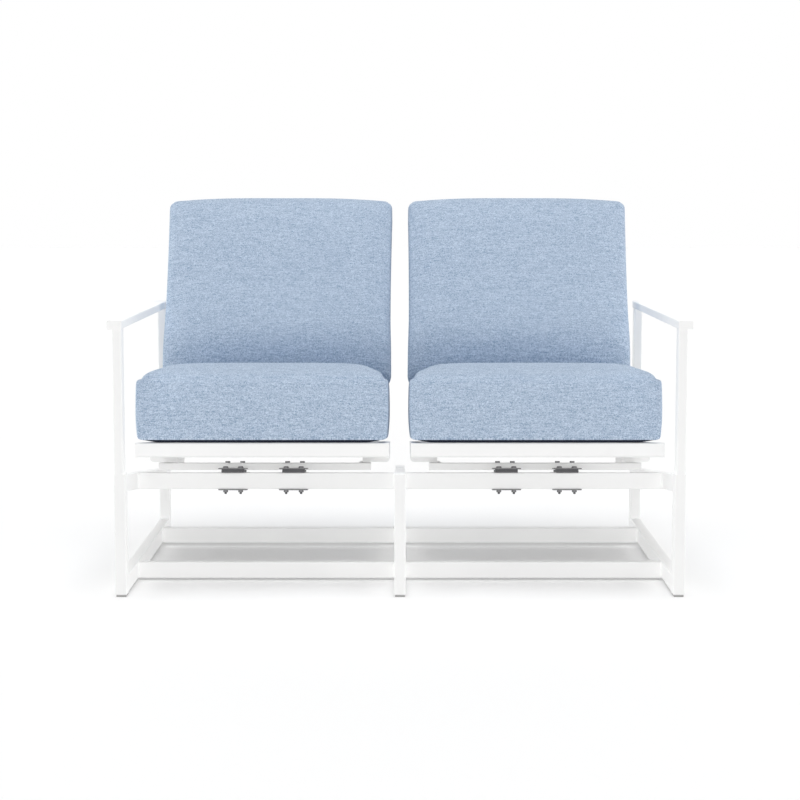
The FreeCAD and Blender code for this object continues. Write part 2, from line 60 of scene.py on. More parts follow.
# The sloping rails give every seat piece its place: x across, s back along them, n square to them
SLOPE = math.radians(7)
BACK_ANGLE = math.radians(15)
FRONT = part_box("left_front_leg")[0][1]
RAIL_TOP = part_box("left_front_leg")[1][2]
RAILS = Matrix.Translation((0, FRONT, RAIL_TOP)) @ Matrix.Rotation(-SLOPE, 4, "X")
REAR_RAIL = 661 * MM
SEAT_TOP = 70 * MM
BACK = RAILS @ Matrix.Translation((0, REAR_RAIL, SEAT_TOP)) @ Matrix.Rotation(-BACK_ANGLE, 4, "X")
SIDES = ("left", "right")


def seat_middle(side):
    low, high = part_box(f"{side}_seat_front_rail")
    return (low[0] + high[0]) / 2


# Shader arithmetic

class Value:
    """A number that a finish works out at each point, written as ordinary arithmetic."""

    def __init__(self, nodes, socket):
        self.nodes = nodes
        self.socket = socket

    def __add__(self, other):
        return self.nodes.maths("ADD", self, other)

    __radd__ = __add__

    def __sub__(self, other):
        return self.nodes.maths("SUBTRACT", self, other)

    def __rsub__(self, other):
        return self.nodes.maths("SUBTRACT", other, self)

    def __mul__(self, other):
        return self.nodes.maths("MULTIPLY", self, other)

    __rmul__ = __mul__

    def __truediv__(self, other):
        return self.nodes.maths("DIVIDE", self, other)

    def __rtruediv__(self, other):
        return self.nodes.maths("DIVIDE", other, self)

    def __mod__(self, other):
        return self.nodes.maths("FLOORED_MODULO", self, other)

    def __abs__(self):
        return self.nodes.maths("ABSOLUTE", self)

    def sine(self):
        return self.nodes.maths("SINE", self)

    def whole(self):
        return self.nodes.maths("FLOOR", self)

    def between(self, low, high):
        """This value spread from 0 at low to 1 at high, and held there."""
        settings = {"clamp": True, "interpolation_type": "SMOOTHSTEP"}
        inputs = {"Value": self, "From Min": low, "From Max": high}
        return self.nodes.output("ShaderNodeMapRange", 0, settings, inputs)


class Nodes:
    """A node tree whose nodes are added as its values are written."""

    def __init__(self, owner):
        owner.use_nodes = True
        self.tree = owner.node_tree
        self.tree.nodes.clear()

    def node(self, kind, settings=None, inputs=None):
        made = self.tree.nodes.new(kind)
        for name, value in (settings or {}).items():
            setattr(made, name, value)
        for name, value in (inputs or {}).items():
            self.feed(made.inputs[name], value)
        return made

    def feed(self, socket, value):
        source = value.socket if isinstance(value, Value) else value
        if isinstance(source, bpy.types.NodeSocket):
            self.tree.links.new(source, socket)
        else:
            socket.default_value = source

    def output(self, kind, index, settings=None, inputs=None):
        return Value(self, self.node(kind, settings, inputs).outputs[index])

    def maths(self, operation, *values):
        return self.output("ShaderNodeMath", 0, {"operation": operation}, dict(enumerate(values)))

    def seen(self):
        """1 for what the camera, a reflection or clear material looks at, and 0 for light that falls."""
        path = self.node("ShaderNodeLightPath")
        camera, glossy, clear = (
            Value(self, path.outputs[f"Is {ray} Ray"]) for ray in ("Camera", "Glossy", "Transmission")
        )
        return self.maths("MINIMUM", camera + glossy + clear, 1.0)

    def colour(self, amount, first, last):
        """A colour that goes from the first to the last as the amount goes from 0 to 1."""
        return self.node("ShaderNodeMix", {"data_type": "RGBA"}, {0: amount, 6: first, 7: last}).outputs[2]


class Finish(Nodes):
    """A material with one shader, and its varying values written by place on the piece."""

    def __init__(self, name, **constants):
        self.material = bpy.data.materials.new(name)
        super().__init__(self.material)
        self.shader = self.node("ShaderNodeBsdfPrincipled", inputs=constants)
        self.node("ShaderNodeOutputMaterial", inputs={"Surface": self.shader.outputs[0]})
        self.place = self.node("ShaderNodeTexCoord").outputs["Object"]

    def along(self, axis):
        return self.output("ShaderNodeSeparateXYZ", "XYZ".index(axis), {}, {0: self.place})

    def facing(self, axis):
        """How far the surface faces along an axis, from -1 to 1."""
        normal = self.node("ShaderNodeNewGeometry").outputs["Normal"]
        return self.output("ShaderNodeSeparateXYZ", "XYZ".index(axis), {}, {0: normal})

    def point(self, x, y, z):
        return self.node("ShaderNodeCombineXYZ", {}, {0: x, 1: y, 2: z}).outputs[0]

    def grain(self, size, seed=0.0):
        """The place on the piece, counted in grains of the given size in metres along x, y and z."""
        return self.node("ShaderNodeVectorMath", {"operation": "MULTIPLY_ADD"}, {
            0: self.place, 1: tuple(1 / part for part in size), 2: (seed, seed, seed),
        }).outputs[0]

    def noise(self, point, detail=2.0):
        return self.output("ShaderNodeTexNoise", 0, {}, {"Vector": point, "Scale": 1.0, "Detail": detail})

    def relief(self, height, depth, strength):
        """Raise the surface by the height, in shading, to the given depth in metres."""
        bump = self.node("ShaderNodeBump", {}, {"Height": height, "Distance": depth, "Strength": strength})
        self.feed(self.shader.inputs["Normal"], bump.outputs[0])

    def vary(self, **sockets):
        for name, value in sockets.items():
            self.feed(self.shader.inputs[name.replace("_", " ").title()], value)


def rgb(red, green, blue):
    """A colour given as it shows on a screen, from 0 to 255."""
    linear = [(part / 255 / 12.92) if part < 11 else ((part / 255 + 0.055) / 1.055) ** 2.4
              for part in (red, green, blue)]
    return (*linear, 1.0)


# Finishes

PEEL, DRIFT = 2.2 * MM, 120 * MM


def powder_coat():
    """White powder coat with a fine orange peel."""
    coat = Finish("white_powder_coat", **{"Specular IOR Level": 0.16})
    peel = coat.noise(coat.grain((PEEL,) * 3), detail=1.0)
    drift = coat.noise(coat.grain((DRIFT,) * 3, seed=7.0), detail=3.0)
    coat.vary(base_color=coat.colour(drift, rgb(237, 237, 237), rgb(243, 243, 242)))
    coat.vary(roughness=0.42 + 0.1 * drift + 0.06 * peel)
    coat.relief(peel, depth=0.12 * MM, strength=0.5)
    return coat.material


YARN = 1.2 * MM
WEFT_STREAK, WARP_STREAK, SLUB = 4 * MM, 3 * MM, 26 * MM
# Steps through the noise from yarn to yarn: wide gives each its own tones, narrow lets slubs cross several
TONE_STEP, SLUB_STEP = 3.71, 0.57
# Where the weave turns onto the end and rear panels, by how far the surface faces sideways or back
END_PANEL, REAR_PANEL = (0.7, 0.76), (0.5, 0.501)
MID_BLUE, PALE_BLUE = rgb(136, 157, 184), rgb(202, 216, 232)


def heather_weave():
    """Light blue outdoor cloth: a plain weave of yarns that go from mid blue to pale along their length."""
    cloth = Finish("heather_weave", **{
        "Sheen Weight": 0.08, "Sheen Roughness": 0.4, "Sheen Tint": (1.0, 0.96, 0.86, 1.0),
        "Specular IOR Level": 0.2,
    })
    x, y, z = (cloth.along(axis) for axis in "XYZ")
    end_panel = abs(cloth.facing("X")).between(*END_PANEL)
    rear_panel = cloth.facing("Y").between(*REAR_PANEL)
    across = x + end_panel * (y - x)
    down = y + z - end_panel * y - 2 * rear_panel * z
    weft, warp = (down / YARN).whole(), (across / YARN).whole()
    weft_tone = cloth.noise(cloth.point(across / WEFT_STREAK, weft * TONE_STEP, 0.5))
    warp_tone = cloth.noise(cloth.point(warp * TONE_STEP, down / WARP_STREAK, 7.5))
    weft_over = (weft + warp) % 2
    tone = warp_tone + weft_over * (weft_tone - warp_tone)
    slub = cloth.noise(cloth.point(across / SLUB, weft * SLUB_STEP, 3.5), detail=1.0)
    pale = (0.82 * tone + 0.18 * slub).between(0.4, 0.6)
    cloth.vary(base_color=cloth.colour(pale, MID_BLUE, PALE_BLUE))
    cloth.vary(roughness=0.82 + 0.14 * tone)
    turn = math.pi / YARN
    weft_round, warp_round = abs((down * turn).sine()), abs((across * turn).sine())
    cloth.relief(warp_round + weft_over * (weft_round - warp_round), depth=0.3 * MM, strength=0.6)
    return cloth.material


DOT_APART, FADE = 3 * MM, 50 * MM


def painted_shade_cloth():
    """Painted shade: near-black navy cloth that stands in for the shade under a seat cushion, with a raised
    dot on every knot.
    """
    cloth = Finish("painted_shade_sheet_cloth", **{"Specular IOR Level": 0.2})
    turn = math.pi / DOT_APART
    dots = abs((cloth.along("X") * turn).sine() * ((cloth.along("Y") + cloth.along("Z")) * turn).sine())
    fade = cloth.noise(cloth.grain((FADE,) * 3))
    # The near-black colour is painted shade
    cloth.vary(base_color=cloth.colour(0.6 * fade + 0.2 * dots, rgb(18, 22, 34), rgb(34, 39, 54)))
    cloth.vary(roughness=0.75 + 0.2 * fade)
    cloth.relief(dots, depth=0.4 * MM, strength=0.7)
    return cloth.material


ROLLING_MARK, BLOTCH = (0.5 * MM, 14 * MM, 6 * MM), 9 * MM


def steel(name, low, high, polish):
    """Coated steel with faint rolling marks and an uneven sheen."""
    metal = Finish(name, **{"Metallic": 0.85})
    marks = metal.noise(metal.grain(ROLLING_MARK), detail=3.0)
    blotch = metal.noise(metal.grain((BLOTCH,) * 3, seed=4.0), detail=3.0)
    metal.vary(base_color=metal.colour(0.6 * blotch + 0.4 * marks, low, high))
    metal.vary(roughness=polish + 0.16 * blotch)
    metal.relief(marks, depth=0.08 * MM, strength=0.4)
    return metal.material


MOULD_GRAIN, LOW_DARKENING_HIGH = 0.7 * MM, 3 * MM


def glide_plastic():
    """Grey moulded plastic with a fine grain, mottled darker in its lowest few millimetres, towards the
    floor.
    """
    plastic = Finish("glide_plastic", **{"Specular IOR Level": 0.35})
    fine = plastic.noise(plastic.grain((MOULD_GRAIN,) * 3))
    # Darker towards the floor, mottled by the fine grain
    low_darkening = 1 - plastic.along("Z").between(0.0, LOW_DARKENING_HIGH)
    plastic.vary(base_color=plastic.colour(low_darkening * fine, rgb(172, 172, 171), rgb(118, 116, 113)))
    plastic.vary(roughness=0.5 + 0.3 * fine)
    plastic.relief(fine, depth=0.1 * MM, strength=0.5)
    return plastic.material


coat = powder_coat()
cloth = heather_weave()
# Painted shade: near-black cloth for the sheet under each seat cushion
painted_shade_finish = painted_shade_cloth()
spring_steel = steel("spring_steel", rgb(58, 58, 60), rgb(92, 92, 94), polish=0.4)
zinc = steel("zinc_hardware", rgb(84, 84, 86), rgb(128, 128, 129), polish=0.26)
glide_grey = glide_plastic()

SLOT_FINISHES = {
    "frame": coat,
    "cushion": cloth,
    "spring_steel": spring_steel,
    "hardware": zinc,
    "glide": glide_grey,
}


def finish_nodes():
    for entry in frame["record"]["subparts"]:
        mesh = frame["nodes"][entry["node"]].data
        mesh.materials.clear()
        mesh.materials.append(SLOT_FINISHES[entry["material_slot"]])


finish_nodes()


# Making pieces

def piece(name, mesh, finish, body, smooth=True):
    mesh.materials.clear()
    mesh.materials.append(finish)
    mesh.polygons.foreach_set("use_smooth", [smooth] * len(mesh.polygons))
    made = bpy.data.objects.new(name, mesh)
    scene.collection.objects.link(made)
    if body:
        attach(made, body)
    return made


def mesh_of(name, points, faces):
    mesh = bpy.data.meshes.new(name)
    mesh.from_pydata([tuple(point) for point in points], [], faces)
    return mesh


def applied(made):
    """The piece's mesh with its modifiers worked in."""
    return bpy.data.meshes.new_from_object(made.evaluated_get(bpy.context.evaluated_depsgraph_get()))


def vertex_places(mesh):
    places = np.empty(len(mesh.vertices) * 3)
    mesh.vertices.foreach_get("co", places)
    return places.reshape(-1, 3)


def subdivided(mesh):
    soft = bpy.data.objects.new("subdividing", mesh)
    scene.collection.objects.link(soft)
    soft.modifiers.new("finer", "SUBSURF").levels = 1
    result = applied(soft)
    bpy.data.objects.remove(soft)
    return result


def block_grid(counts):
    """Points on a cube from -1 to 1 with these numbers of cells along its sides, and its faces."""
    index = {}
    faces = []
    for axis in range(3):
        first, second = (axis + 1) % 3, (axis + 2) % 3
        for end in (0, counts[axis]):
            for i in range(counts[first]):
                for j in range(counts[second]):
                    ring = []
                    for over, up in ((0, 0), (1, 0), (1, 1), (0, 1)):
                        place = [0, 0, 0]
                        place[axis], place[first], place[second] = end, i + over, j + up
                        ring.append(index.setdefault(tuple(place), len(index)))
                    faces.append(ring if end else ring[::-1])
    return 2 * np.array(list(index)) / np.array(counts) - 1, faces


def rounded(unit, half, radius):
    """A box of these half sizes, with the edges by each point rounded to the radius given for it."""
    radius = np.broadcast_to(radius, len(unit))[:, None]
    full = unit * half
    inner = np.clip(full, radius - half, half - radius)
    away = full - inner
    length = np.linalg.norm(away, axis=1, keepdims=True)
    return inner + away * radius / np.maximum(length, TINY)


# Cushions

CELL = 6 * MM
SWELL_CAP = 7 * MM
SEAM_DEPTH = 1.4 * MM
STUFFING_QUALITY, STUFFING_PRESSURE, STUFFING_STEPS = 6, 4, 20
EASING_ROUNDS = 30


def swollen(mesh):
    """Where each point of a closed mesh goes when it is stuffed as cloth."""
    soft = bpy.data.objects.new("stuffing", mesh)
    scene.collection.objects.link(soft)
    stuffing = soft.modifiers.new("stuffing", "CLOTH").settings
    stuffing.quality = STUFFING_QUALITY
    stuffing.use_pressure = True
    stuffing.uniform_pressure_force = STUFFING_PRESSURE
    stuffing.effector_weights.gravity = 0
    for step in range(1, STUFFING_STEPS + 1):
        scene.frame_set(step)
    full = applied(soft)
    scene.frame_set(1)
    bpy.data.objects.remove(soft)
    return vertex_places(full)


def eased(mesh, move, rounds):
    """A move for each point, averaged with its neighbours' a number of times."""
    edges = np.empty(len(mesh.edges) * 2, dtype=np.int32)
    mesh.edges.foreach_get("vertices", edges)
    first, last = edges.reshape(-1, 2).T
    neighbours = np.bincount(edges, minlength=len(move))[:, None]
    for _ in range(rounds):
        total = np.zeros_like(move)
        np.add.at(total, first, move[last])
        np.add.at(total, last, move[first])
        move = (move + total / neighbours) / 2
    return move


def stuffed(name, points, faces, free, seams):
    """A cushion: its shape swollen where it is free, drawn in along its seams and subdivided."""
    mesh = mesh_of(name, points, faces)
    move = eased(mesh, swollen(mesh) - points, EASING_ROUNDS)
    length = np.linalg.norm(move, axis=1, keepdims=True)
    move *= np.minimum(1, SWELL_CAP / np.maximum(length, TINY))
    points = points + move * free[:, None]
    normals = np.empty(len(points) * 3)
    mesh.vertex_normals.foreach_get("vector", normals)
    points = points - SEAM_DEPTH * seams[:, None] * normals.reshape(-1, 3)
    mesh.vertices.foreach_set("co", points.ravel())
    mesh.update()
    return subdivided(mesh)


def end_seams(across, cells):
    """1 on the lines where the end panels are sewn on, one cell in from each end."""
    return np.isclose(np.abs(across), 1 - 2 / cells).astype(float)


def ease_in(amount, width):
    """A smooth rise from 0 to 1 as the amount goes from 0 to the width."""
    share = np.clip(amount / width, 0, 1)
    return share ** 2 * (3 - 2 * share)


SEAT_HALF = np.array((287, 269, 73)) * MM
SEAT_EDGE, SEAT_LIP, SEAT_SHOULDER = 8 * MM, 20 * MM, 20 * MM
SEAT_CROWN, SEAT_FRONT_SWELL, SEAT_END_SWELL = 32 * MM, 6 * MM, 1.5 * MM
SEAT_FOOT_DRAW = 0.012


def seat_pad():
    """A seat cushion, crowned on top, with a soft front lip and full ends that draw in at its foot."""
    cells = [round(2 * size / CELL) for size in SEAT_HALF]
    unit, faces = block_grid(cells)
    across, deep, high = unit.T
    front, top, low = np.clip(-deep, 0, 1), np.clip(high, 0, 1), np.clip(-high, 0, 1)
    lip = (front * top) ** 6 * (1 - across ** 6)
    shoulder = (np.abs(across) * top) ** 8
    points = rounded(unit, SEAT_HALF, SEAT_EDGE + SEAT_LIP * lip + SEAT_SHOULDER * shoulder)
    arch = 1 - 0.25 * across ** 4 - 0.55 * across ** 12
    points[:, 2] += SEAT_CROWN * top * arch * (1 - np.abs(deep) ** 2.4)
    points[:, 1] -= SEAT_FRONT_SWELL * front * (1 - high ** 2) * (1 - across ** 4)
    points[:, 0] += SEAT_END_SWELL * across ** 9 * (1 - high ** 2)
    points[:, 0] *= 1 - SEAT_FOOT_DRAW * low ** 2
    free = ease_in(1 - np.abs(across), 0.1) * ease_in(1 + high, 0.7) * (0.5 + 0.5 * ease_in(1 - front, 0.3))
    return stuffed("seat_pad", points, faces, free, end_seams(across, cells[0]))


BACK_HALF = np.array((289, 62, 227)) * MM
BACK_EDGE, BACK_TOP_EDGE, BACK_LOW_EDGE = 18 * MM, 8 * MM, 28 * MM
BACK_SWELL, BACK_LUMBAR, BACK_TUCK = 11 * MM, 13 * MM, 42 * MM
BACK_CROWN, BACK_FOOT, BACK_FOOT_ENDS = 17 * MM, 4 * MM, 16 * MM
BACK_FOOT_SPREAD, BACK_WAIST = 0.006, 0.008


def back_pad():
    """A back cushion, fullest low down, tucked under at its foot and crowned along its top."""
    cells = [round(2 * size / CELL) for size in BACK_HALF]
    unit, faces = block_grid(cells)
    across, deep, high = unit.T
    front, top, low = np.clip(-deep, 0, 1), np.clip(high, 0, 1), np.clip(-high, 0, 1)
    top_edge = (front * top) ** 6 * (1 - across ** 6)
    low_edge = (front * low) ** 4 * (1 - across ** 8)
    points = rounded(unit, BACK_HALF, BACK_EDGE + BACK_TOP_EDGE * top_edge + BACK_LOW_EDGE * low_edge)
    level = 1 - 0.9 * across ** 4
    lumbar = np.exp(-((high + 0.55) / 0.38) ** 2) * (1 - 0.5 * across ** 4)
    points[:, 1] -= front * (BACK_SWELL * level * (1 - 0.85 * np.abs(high) ** 3) + BACK_LUMBAR * lumbar)
    points[:, 1] += BACK_TUCK * front * np.clip((low - 0.5) / 0.5, 0, 1) ** 2
    points[:, 2] += BACK_CROWN * level * top
    points[:, 2] -= (BACK_FOOT + BACK_FOOT_ENDS * across ** 4) * low
    points[:, 2] += deep * BACK_HALF[1] * math.tan(BACK_ANGLE) * low
    points[:, 0] *= 1 + BACK_FOOT_SPREAD * ease_in(low - 0.25, 0.4) - BACK_WAIST * (1 - high ** 2)
    free = ease_in(1 - np.abs(across), 0.16) * (0.5 + 0.5 * ease_in(1 - np.abs(high), 0.25)) * (deep < 0.9)
    return stuffed("back_pad", points, faces, free, end_seams(across, cells[0]))


# A dark sheet under each seat cushion, painted to stand for the shade below its front edge
SHADE_PAD_HALF = np.array((273, 263, 4)) * MM
SHADE_PAD_EDGE, SHADE_PAD_TURN_UP = 2.5 * MM, 5 * MM


def painted_shade_pad():
    """A dark sheet of painted shade under a seat cushion, turned up at its ends."""
    unit, faces = block_grid((60, 30, 3))
    points = rounded(unit, SHADE_PAD_HALF, SHADE_PAD_EDGE)
    points[:, 2] += SHADE_PAD_TURN_UP * ease_in(np.abs(unit[:, 0]) - 0.86, 0.14)
    return mesh_of("painted_shade_pad", points, faces)


# How the cushions lie: x shifts of seat and back in mm, then the back's slant and share of full width
CUSHION_LAY = {"left": (-0.5, 3.2, 0.01, 1.0), "right": (-4.6, -11.5, 0.0, 0.975)}
SEAT_PAD_PLACE = (379 * MM, 148.5 * MM)
BACK_PAD_PLACE = (-64 * MM, 384 * MM)
SHADE_PAD_PLACE = (379 * MM, 74.3 * MM)


def cushion_piece(name, mesh, place, finish, side, node):
    own = mesh.copy()
    own.transform(place)
    made = piece(f"{side}_{name}", own, finish, f"{side}_seat")
    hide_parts(f"{side}_{node}")


def cushions():
    # base is the dark sheet of painted shade under each seat cushion
    seat, back, base = seat_pad(), back_pad(), painted_shade_pad()
    for side in SIDES:
        seat_shift, back_shift, slant, width = CUSHION_LAY[side]
        x = seat_middle(side)
        seat_place = RAILS @ Matrix.Translation((x + seat_shift * MM, *SEAT_PAD_PLACE))
        shade_pad_place = RAILS @ Matrix.Translation((x + seat_shift * MM, *SHADE_PAD_PLACE))
        back_place = BACK @ Matrix.Translation((x + back_shift * MM, *BACK_PAD_PLACE))
        back_place @= Matrix(((width, 0, slant, 0), (0, 1, 0, 0), (0, 0, 1, 0), (0, 0, 0, 1)))
        cushion_piece("seat_cushion_cover", seat, seat_place, cloth, side, "seat_cushion")
        # Painted shade: the dark sheet laid under the seat cushion
        cushion_piece("seat_cushion_painted_shade", base, shade_pad_place, painted_shade_finish, side, "seat_cushion")
        cushion_piece("back_cushion_cover", back, back_place, cloth, side, "back_cushion")


cushions()


# Leaf springs

LEAF_WIDE, LEAF_THICK = 52 * MM, 4.5 * MM
LEAF_START, LEAF_BEND_START = 203.2 * MM, 235.2 * MM
LEAF_BEND, LEAF_DROP = 18 * MM, 34 * MM
LEAF_SPLIT, LEAF_REACH, LEAF_END = 290 * MM, 400 * MM, 262 * MM
LEAF_LOW = LEAF_THICK / 2 - LEAF_DROP
LEAF_HIGH = -5.65 * MM
LEAF_EASE = 0.8 * MM
BEND_STEPS, LOOP_STEPS = 11, 25
SPRING_OFFSET, SPRING_SPACING = 318.3 * MM, 141 * MM


def spring_middles(side):
    middle = math.copysign(SPRING_OFFSET, seat_middle(side))
    return [middle - SPRING_SPACING / 2, middle + SPRING_SPACING / 2]


def clamped_line():
    """Points (s, n) and headings along a leaf from its clamp, round its bend and on to the split."""
    turn = math.acos(1 - LEAF_DROP / (2 * LEAF_BEND))
    bend_end = LEAF_BEND_START + 2 * LEAF_BEND * math.sin(turn)
    line = [(LEAF_START, LEAF_THICK / 2, 0.0)]
    for angle in np.linspace(0, turn, BEND_STEPS):
        drop = LEAF_BEND * (1 - math.cos(angle))
        line.append((LEAF_BEND_START + LEAF_BEND * math.sin(angle), LEAF_THICK / 2 - drop, -angle))
    for angle in np.linspace(turn, 0, BEND_STEPS)[1:]:
        rise = LEAF_BEND * (1 - math.cos(angle))
        line.append((bend_end - LEAF_BEND * math.sin(angle), LEAF_LOW + rise, -angle))
    line.append((LEAF_SPLIT, LEAF_LOW, 0.0))
    return line


def looped_line():
    """Points (s, n) and headings along a leaf from the split, round its loop and back to its bolts."""
    loop = (LEAF_HIGH - LEAF_LOW) / 2
    line = [(LEAF_SPLIT, LEAF_LOW, 0.0)]
    for angle in np.linspace(0, math.pi, LOOP_STEPS):
        line.append((LEAF_REACH + loop * math.sin(angle), LEAF_LOW + loop * (1 - math.cos(angle)), angle))
    line.append((LEAF_END, LEAF_HIGH, math.pi))
    return line


def strips(name, middles, line):
    """A steel strip with eased edges along the line, for each spring."""
    wide, thick, ease = LEAF_WIDE / 2, LEAF_THICK / 2, LEAF_EASE
    section = [
        (-wide, ease - thick), (ease - wide, -thick), (wide - ease, -thick), (wide, ease - thick),
        (wide, thick - ease), (wide - ease, thick), (ease - wide, thick), (-wide, thick - ease),
    ]
    points, faces = [], []
    for middle in middles:
        start = len(points)
        for s, n, heading in line:
            for across, out in section:
                along, up = s - out * math.sin(heading), n + out * math.cos(heading)
                points.append(RAILS @ Vector((middle + across, along, up)))
        count = len(section)
        for row in range(len(line) - 1):
            near, far = start + row * count, start + (row + 1) * count
            for index in range(count):
                following = (index + 1) % count
                faces.append((near + index, far + index, far + following, near + following))
        faces.append([start + index for index in range(count)])
        faces.append([len(points) - 1 - index for index in range(count)])
    return mesh_of(name, points, faces)


def leaf_springs():
    """The clamped run stays with the base. The looped run, round its loop, is baked in place and rides with
    no body.
    """
    for side in SIDES:
        middles = spring_middles(side)
        clamped = strips("clamped_leaves", middles, clamped_line())
        looped = strips("looped_leaves", middles, looped_line())
        lower = piece(f"{side}_leaf_clamped_runs", clamped, spring_steel,
                      "base", smooth=False)
        upper = piece(f"{side}_leaf_loops", looped, spring_steel,
                      None, smooth=False)
        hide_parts(f"{side}_springs")
        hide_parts(f"{side}_springs")
        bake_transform(upper)


leaf_springs()


# Clamps and bolts

BOLT_SPACING = 35 * MM
CLAMP_WIDE, CLAMP_LONG, CLAMP_SETBACK = 67 * MM, 32 * MM, 219.2 * MM
RAIL_FOOT = -38.1 * MM
PACKER_TOP, CLAMP_TOP, CLAMP_FOOT = 8 * MM, 10.6 * MM, RAIL_FOOT - 3 * MM
CARRIER_SETBACK, CARRIER_NUT_FOOT = 274.7 * MM, -13.2 * MM
PLATE_EDGE = 0.7 * MM
HEX_RADIUS, HEX_EASE, HEAD_TALL, NUT_TALL = 5.7 * MM, 0.7 * MM, 3.2 * MM, 5 * MM
WASHER_RADIUS, WASHER_FLAT, WASHER_THICK, FINE_EASE = 7.4 * MM, 7 * MM, 1 * MM, 0.3 * MM
THREAD_CREST, THREAD_ROOT, THREAD_TIP, THREAD_PITCH = 2.95 * MM, 2.5 * MM, 1.9 * MM, 1 * MM
CLAMP_THREAD, CARRIER_THREAD = 4 * MM, 2.5 * MM
HEX, ROUND = 6, 20


def plates(name, middles, wide, low, high):
    """A flat steel plate with eased edges for each spring."""
    half = np.array((wide / 2, CLAMP_LONG / 2, (high - low) / 2))
    unit, faces = block_grid((16, 10, 4))
    shape = rounded(unit, half, PLATE_EDGE)
    points, every = [], []
    for middle in middles:
        start = len(points)
        place = RAILS @ Matrix.Translation((middle, CLAMP_SETBACK, (low + high) / 2))
        points += [place @ Vector(point) for point in shape]
        every += [[start + index for index in face] for face in faces]
    return mesh_of(name, points, every)


def turned(points, faces, place, profile, sides):
    """Add a shape with this many sides that follows a profile of (radius, height) down its axis."""
    start = len(points)
    for radius, height in profile:
        for number in range(sides):
            angle = 2 * math.pi * number / sides
            points.append(place @ Vector((radius * math.cos(angle), radius * math.sin(angle), height)))
    for row in range(len(profile) - 1):
        near, far = start + row * sides, start + (row + 1) * sides
        for index in range(sides):
            following = (index + 1) % sides
            faces.append((near + index, far + index, far + following, near + following))
    faces.append([start + index for index in range(sides)])
    faces.append([len(points) - sides + index for index in reversed(range(sides))])


def hex_head(top):
    """A bolt's head, eased towards its flat top."""
    return [(0.7 * HEX_RADIUS, top), (HEX_RADIUS - HEX_EASE, top - FINE_EASE), (HEX_RADIUS, top - HEX_EASE),
            (HEX_RADIUS, top - HEAD_TALL)]


def hex_nut(top):
    """A nut, eased at its foot."""
    foot = top - NUT_TALL
    return [(HEX_RADIUS, top), (HEX_RADIUS, foot + HEX_EASE), (HEX_RADIUS - HEX_EASE, foot)]


def washer(top):
    """A washer, eased round its top."""
    foot = top - WASHER_THICK
    return [(WASHER_FLAT, top), (WASHER_RADIUS, top - FINE_EASE), (WASHER_RADIUS, foot)]


def thread_end(top, length):
    """The end of a bolt below its nut: ridged thread and a chamfered tip."""
    profile = []
    for number in range(int(length / THREAD_PITCH)):
        profile.append((THREAD_ROOT, top - THREAD_PITCH * number))
        profile.append((THREAD_CREST, top - THREAD_PITCH * (number + 0.5)))
    return profile + [(THREAD_TIP, top - length)]


def bolt_places(middles, s):
    for middle in middles:
        for x in (middle - BOLT_SPACING / 2, middle + BOLT_SPACING / 2):
            yield RAILS @ Matrix.Translation((x, s, 0))


def clamp_bolts(middles):
    """For each clamp two bolts: washer and head above, nut and thread end below."""
    points, faces = [], []
    for place in bolt_places(middles, CLAMP_SETBACK):
        turned(points, faces, place, washer(CLAMP_TOP + WASHER_THICK), ROUND)
        turned(points, faces, place, hex_head(CLAMP_TOP + WASHER_THICK + HEAD_TALL), HEX)
        turned(points, faces, place, hex_nut(CLAMP_FOOT), HEX)
        turned(points, faces, place, thread_end(CLAMP_FOOT - NUT_TALL, CLAMP_THREAD), ROUND)
    return mesh_of("clamp_bolts", points, faces)


def clamps():
    """Each leaf's clamp: a packer and plate above, a plate under the rail, and two bolts."""
    middles = [middle for side in SIDES for middle in spring_middles(side)]
    made = [
        piece("clamp_packers", plates("packers", middles, LEAF_WIDE, LEAF_THICK, PACKER_TOP),
              spring_steel, "base", smooth=False),
        piece("clamp_top_plates", plates("top_plates", middles, CLAMP_WIDE, PACKER_TOP, CLAMP_TOP),
              zinc, "base", smooth=False),
        piece("clamp_low_plates", plates("low_plates", middles, CLAMP_WIDE, CLAMP_FOOT, RAIL_FOOT),
              zinc, "base", smooth=False),
        piece("clamp_bolts", clamp_bolts(middles), zinc, "base", smooth=False),
    ]
    for item in made:
        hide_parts("spring_clamps")


def carrier_bolt_ends():
    """The thread ends that show under the nuts of the carrier bolts."""
    for side in SIDES:
        points, faces = [], []
        for place in bolt_places(spring_middles(side), CARRIER_SETBACK):
            turned(points, faces, place, thread_end(CARRIER_NUT_FOOT, CARRIER_THREAD), ROUND)
        name = f"{side}_carrier_bolt_ends"
        piece(name, mesh_of(name, points, faces), zinc, f"{side}_seat", smooth=False)


clamps()
carrier_bolt_ends()


# Welds

TUBE_WIDE = 25.4 * MM
WELD_RADIUS, WELD_HALF, WELD_RIPPLE = 3.2 * MM, 18 * MM, 2.5 * MM
WELD_ROWS, WELD_SIDES = 36, 12


def weld_profile():
    """A rippled bead that runs out at both ends."""
    profile = []
    for height in np.linspace(WELD_HALF, -WELD_HALF, WELD_ROWS):
        run_out = 1 - 0.8 * (height / WELD_HALF) ** 8
        ripple = 1 + 0.1 * math.sin(2 * math.pi * height / WELD_RIPPLE)
        profile.append((WELD_RADIUS * run_out * ripple, height))
    return profile


def rail_end(rail, x):
    """The middle of a cross rail's end at x, with its z up the rail's side."""
    if rail.endswith("spring_rail"):
        return RAILS @ Matrix.Translation((x, CLAMP_SETBACK, RAIL_FOOT / 2))
    low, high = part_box(rail)
    return Matrix.Translation((x, (low[1] + high[1]) / 2, (low[2] + high[2]) / 2))


